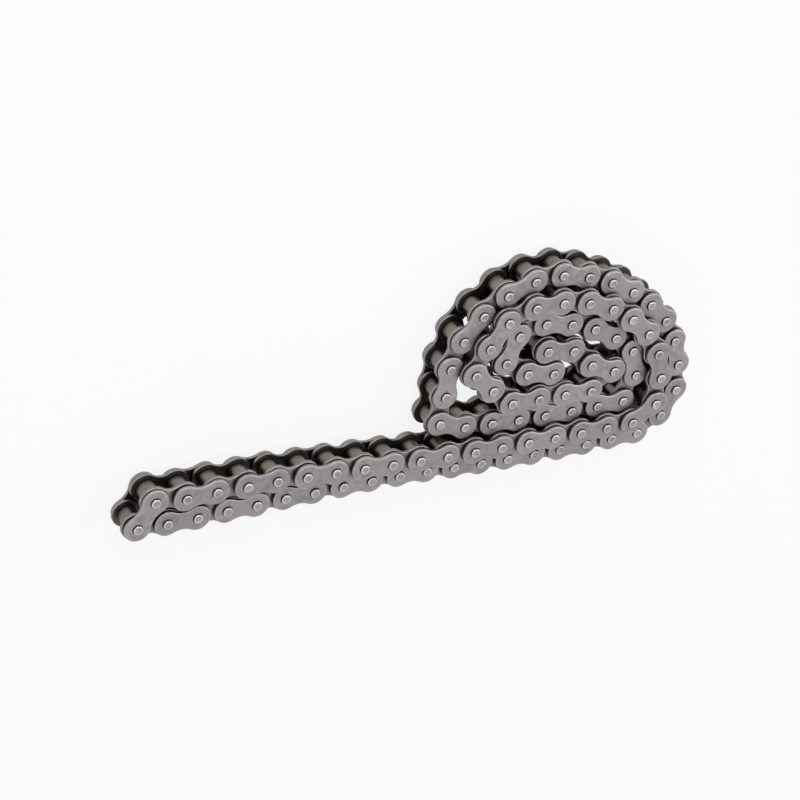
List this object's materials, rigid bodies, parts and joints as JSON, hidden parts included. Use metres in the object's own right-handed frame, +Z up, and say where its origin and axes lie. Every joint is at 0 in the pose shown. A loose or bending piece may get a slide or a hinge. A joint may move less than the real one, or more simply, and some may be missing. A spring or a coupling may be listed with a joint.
{
  "type": "roller chain",
  "caption": "Endless riveted roller chain with waisted link plates, folded into two strands and coiled, lying on its side.",
  "frame": {"origin": "on the floor under the middle of the coiled chain's bounding box", "axes": "+Z up along every pin, from the lower plates to the upper ones; +X along the two straight strands, from the free fold to the coil; +Y across, from the lower strand to the coil's far side"},
  "size_m": [0.2568, 0.0966, 0.0201],
  "materials": {
    "plate_steel": "satin mill-finished steel",
    "pin_steel": "ground steel, satin",
    "roller_steel": "darker heat-treated steel, satin"
  },
  "bodies": {
    "coil": {"upper_coil_outer_plates": "plate_steel", "upper_coil_pins": "pin_steel", "upper_coil_inner_plates": "plate_steel", "upper_coil_bushes": "roller_steel", "upper_coil_rollers": "roller_steel", "lower_coil_outer_plates": "plate_steel", "lower_coil_pins": "pin_steel", "lower_coil_inner_plates": "plate_steel", "lower_coil_bushes": "roller_steel", "lower_coil_rollers": "roller_steel"},
    "upper_link_7": {"upper_link_7_plates": "plate_steel", "upper_link_7_bushes": "roller_steel"},
    "upper_link_7_roller_a": {"upper_link_7_roller_a": "roller_steel"},
    "upper_link_7_roller_b": {"upper_link_7_roller_b": "roller_steel"},
    "upper_link_6": {"upper_link_6_plates": "plate_steel", "upper_link_6_pins": "pin_steel"},
    "upper_link_5": {"upper_link_5_plates": "plate_steel", "upper_link_5_bushes": "roller_steel"},
    "upper_link_5_roller_a": {"upper_link_5_roller_a": "roller_steel"},
    "upper_link_5_roller_b": {"upper_link_5_roller_b": "roller_steel"},
    "upper_link_4": {"upper_link_4_plates": "plate_steel", "upper_link_4_pins": "pin_steel"},
    "upper_link_3": {"upper_link_3_plates": "plate_steel", "upper_link_3_bushes": "roller_steel"},
    "upper_link_3_roller_a": {"upper_link_3_roller_a": "roller_steel"},
    "upper_link_3_roller_b": {"upper_link_3_roller_b": "roller_steel"},
    "upper_link_2": {"upper_link_2_plates": "plate_steel", "upper_link_2_pins": "pin_steel"},
    "upper_link_1": {"upper_link_1_plates": "plate_steel", "upper_link_1_bushes": "roller_steel"},
    "upper_link_1_roller_a": {"upper_link_1_roller_a": "roller_steel"},
    "upper_link_1_roller_b": {"upper_link_1_roller_b": "roller_steel"},
    "lower_link_7": {"lower_link_7_plates": "plate_steel", "lower_link_7_bushes": "roller_steel"},
    "lower_link_7_roller_a": {"lower_link_7_roller_a": "roller_steel"},
    "lower_link_7_roller_b": {"lower_link_7_roller_b": "roller_steel"},
    "lower_link_6": {"lower_link_6_plates": "plate_steel", "lower_link_6_pins": "pin_steel"},
    "lower_link_5": {"lower_link_5_plates": "plate_steel", "lower_link_5_bushes": "roller_steel"},
    "lower_link_5_roller_a": {"lower_link_5_roller_a": "roller_steel"},
    "lower_link_5_roller_b": {"lower_link_5_roller_b": "roller_steel"},
    "lower_link_4": {"lower_link_4_plates": "plate_steel", "lower_link_4_pins": "pin_steel"},
    "lower_link_3": {"lower_link_3_plates": "plate_steel", "lower_link_3_bushes": "roller_steel"},
    "lower_link_3_roller_a": {"lower_link_3_roller_a": "roller_steel"},
    "lower_link_3_roller_b": {"lower_link_3_roller_b": "roller_steel"},
    "lower_link_2": {"lower_link_2_plates": "plate_steel", "lower_link_2_pins": "pin_steel"},
    "lower_link_1": {"lower_link_1_plates": "plate_steel", "lower_link_1_bushes": "roller_steel"},
    "lower_link_1_roller_a": {"lower_link_1_roller_a": "roller_steel"},
    "lower_link_1_roller_b": {"lower_link_1_roller_b": "roller_steel"},
    "fold_link": {"fold_link_plates": "plate_steel", "fold_link_pin": "pin_steel", "fold_link_drawn_pin": "pin_steel"}
  },
  "joints": [
    {"name": "upper_link_7_hinge", "type": "hinge", "parent": "coil", "child": "upper_link_7", "pos_m": [-0.02669, -0.02931, 0.01183], "axis": [0, 0, 1], "range_deg": [-25, 0]},
    {"name": "upper_link_6_hinge", "type": "hinge", "parent": "upper_link_7", "child": "upper_link_6", "pos_m": [-0.03936, -0.02848, 0.01183], "axis": [0, 0, 1], "range_deg": [-25, 0]},
    {"name": "upper_link_5_hinge", "type": "hinge", "parent": "upper_link_6", "child": "upper_link_5", "pos_m": [-0.05204, -0.0277, 0.01167], "axis": [0, 0, 1], "range_deg": [-25, 0]},
    {"name": "upper_link_4_hinge", "type": "hinge", "parent": "upper_link_5", "child": "upper_link_4", "pos_m": [-0.06473, -0.0272, 0.01137], "axis": [0, 0, 1], "range_deg": [-25, 0]},
    {"name": "upper_link_3_hinge", "type": "hinge", "parent": "upper_link_4", "child": "upper_link_3", "pos_m": [-0.07743, -0.02698, 0.01107], "axis": [0, 0, 1], "range_deg": [-25, 0]},
    {"name": "upper_link_2_hinge", "type": "hinge", "parent": "upper_link_3", "child": "upper_link_2", "pos_m": [-0.09013, -0.02704, 0.01077], "axis": [0, 0, 1], "range_deg": [-25, 0]},
    {"name": "upper_link_1_hinge", "type": "hinge", "parent": "upper_link_2", "child": "upper_link_1", "pos_m": [-0.10282, -0.02737, 0.01047], "axis": [0, 0, 1], "range_deg": [-25, 0]},
    {"name": "lower_link_7_hinge", "type": "hinge", "parent": "coil", "child": "lower_link_7", "pos_m": [-0.03355, -0.03852, 0.00822], "axis": [0, 0, 1], "range_deg": [0, 30]},
    {"name": "lower_link_6_hinge", "type": "hinge", "parent": "lower_link_7", "child": "lower_link_6", "pos_m": [-0.04625, -0.0385, 0.00822], "axis": [0, 0, 1], "range_deg": [0, 30]},
    {"name": "lower_link_5_hinge", "type": "hinge", "parent": "lower_link_6", "child": "lower_link_5", "pos_m": [-0.05895, -0.03846, 0.00838], "axis": [0, 0, 1], "range_deg": [0, 30]},
    {"name": "lower_link_4_hinge", "type": "hinge", "parent": "lower_link_5", "child": "lower_link_4", "pos_m": [-0.07165, -0.03841, 0.00868], "axis": [0, 0, 1], "range_deg": [0, 30]},
    {"name": "lower_link_3_hinge", "type": "hinge", "parent": "lower_link_4", "child": "lower_link_3", "pos_m": [-0.08435, -0.03834, 0.00898], "axis": [0, 0, 1], "range_deg": [0, 30]},
    {"name": "lower_link_2_hinge", "type": "hinge", "parent": "lower_link_3", "child": "lower_link_2", "pos_m": [-0.09705, -0.03824, 0.00928], "axis": [0, 0, 1], "range_deg": [0, 30]},
    {"name": "lower_link_1_hinge", "type": "hinge", "parent": "lower_link_2", "child": "lower_link_1", "pos_m": [-0.10975, -0.03813, 0.00958], "axis": [0, 0, 1], "range_deg": [0, 30]},
    {"name": "fold_link_hinge", "type": "hinge", "parent": "lower_link_1", "child": "fold_link", "pos_m": [-0.12242, -0.03736, 0.01002], "axis": [0, 0, 1], "range_deg": [0, 60]},
    {"name": "upper_link_7_roller_a_spin", "type": "hinge", "parent": "upper_link_7", "child": "upper_link_7_roller_a", "pos_m": [-0.03936, -0.02848, 0.01183], "axis": [0, 0, 1], "continuous": true},
    {"name": "upper_link_7_roller_b_spin", "type": "hinge", "parent": "upper_link_7", "child": "upper_link_7_roller_b", "pos_m": [-0.02669, -0.02931, 0.01183], "axis": [0, 0, 1], "continuous": true},
    {"name": "upper_link_5_roller_a_spin", "type": "hinge", "parent": "upper_link_5", "child": "upper_link_5_roller_a", "pos_m": [-0.06473, -0.0272, 0.01153], "axis": [0, 0, 1], "continuous": true},
    {"name": "upper_link_5_roller_b_spin", "type": "hinge", "parent": "upper_link_5", "child": "upper_link_5_roller_b", "pos_m": [-0.05204, -0.0277, 0.01153], "axis": [0, 0, 1], "continuous": true},
    {"name": "upper_link_3_roller_a_spin", "type": "hinge", "parent": "upper_link_3", "child": "upper_link_3_roller_a", "pos_m": [-0.09013, -0.02704, 0.01093], "axis": [0, 0, 1], "continuous": true},
    {"name": "upper_link_3_roller_b_spin", "type": "hinge", "parent": "upper_link_3", "child": "upper_link_3_roller_b", "pos_m": [-0.07743, -0.02698, 0.01093], "axis": [0, 0, 1], "continuous": true},
    {"name": "upper_link_1_roller_a_spin", "type": "hinge", "parent": "upper_link_1", "child": "upper_link_1_roller_a", "pos_m": [-0.11551, -0.02671, 0.01033], "axis": [0, 0, 1], "continuous": true},
    {"name": "upper_link_1_roller_b_spin", "type": "hinge", "parent": "upper_link_1", "child": "upper_link_1_roller_b", "pos_m": [-0.10282, -0.02737, 0.01033], "axis": [0, 0, 1], "continuous": true},
    {"name": "lower_link_7_roller_a_spin", "type": "hinge", "parent": "lower_link_7", "child": "lower_link_7_roller_a", "pos_m": [-0.03355, -0.03852, 0.00822], "axis": [0, 0, 1], "continuous": true},
    {"name": "lower_link_7_roller_b_spin", "type": "hinge", "parent": "lower_link_7", "child": "lower_link_7_roller_b", "pos_m": [-0.04625, -0.0385, 0.00822], "axis": [0, 0, 1], "continuous": true},
    {"name": "lower_link_5_roller_a_spin", "type": "hinge", "parent": "lower_link_5", "child": "lower_link_5_roller_a", "pos_m": [-0.05895, -0.03846, 0.00852], "axis": [0, 0, 1], "continuous": true},
    {"name": "lower_link_5_roller_b_spin", "type": "hinge", "parent": "lower_link_5", "child": "lower_link_5_roller_b", "pos_m": [-0.07165, -0.03841, 0.00852], "axis": [0, 0, 1], "continuous": true},
    {"name": "lower_link_3_roller_a_spin", "type": "hinge", "parent": "lower_link_3", "child": "lower_link_3_roller_a", "pos_m": [-0.08435, -0.03834, 0.00912], "axis": [0, 0, 1], "continuous": true},
    {"name": "lower_link_3_roller_b_spin", "type": "hinge", "parent": "lower_link_3", "child": "lower_link_3_roller_b", "pos_m": [-0.09705, -0.03824, 0.00912], "axis": [0, 0, 1], "continuous": true},
    {"name": "lower_link_1_roller_a_spin", "type": "hinge", "parent": "lower_link_1", "child": "lower_link_1_roller_a", "pos_m": [-0.10975, -0.03813, 0.00972], "axis": [0, 0, 1], "continuous": true},
    {"name": "lower_link_1_roller_b_spin", "type": "hinge", "parent": "lower_link_1", "child": "lower_link_1_roller_b", "pos_m": [-0.12242, -0.03736, 0.00972], "axis": [0, 0, 1], "continuous": true}
  ]
}
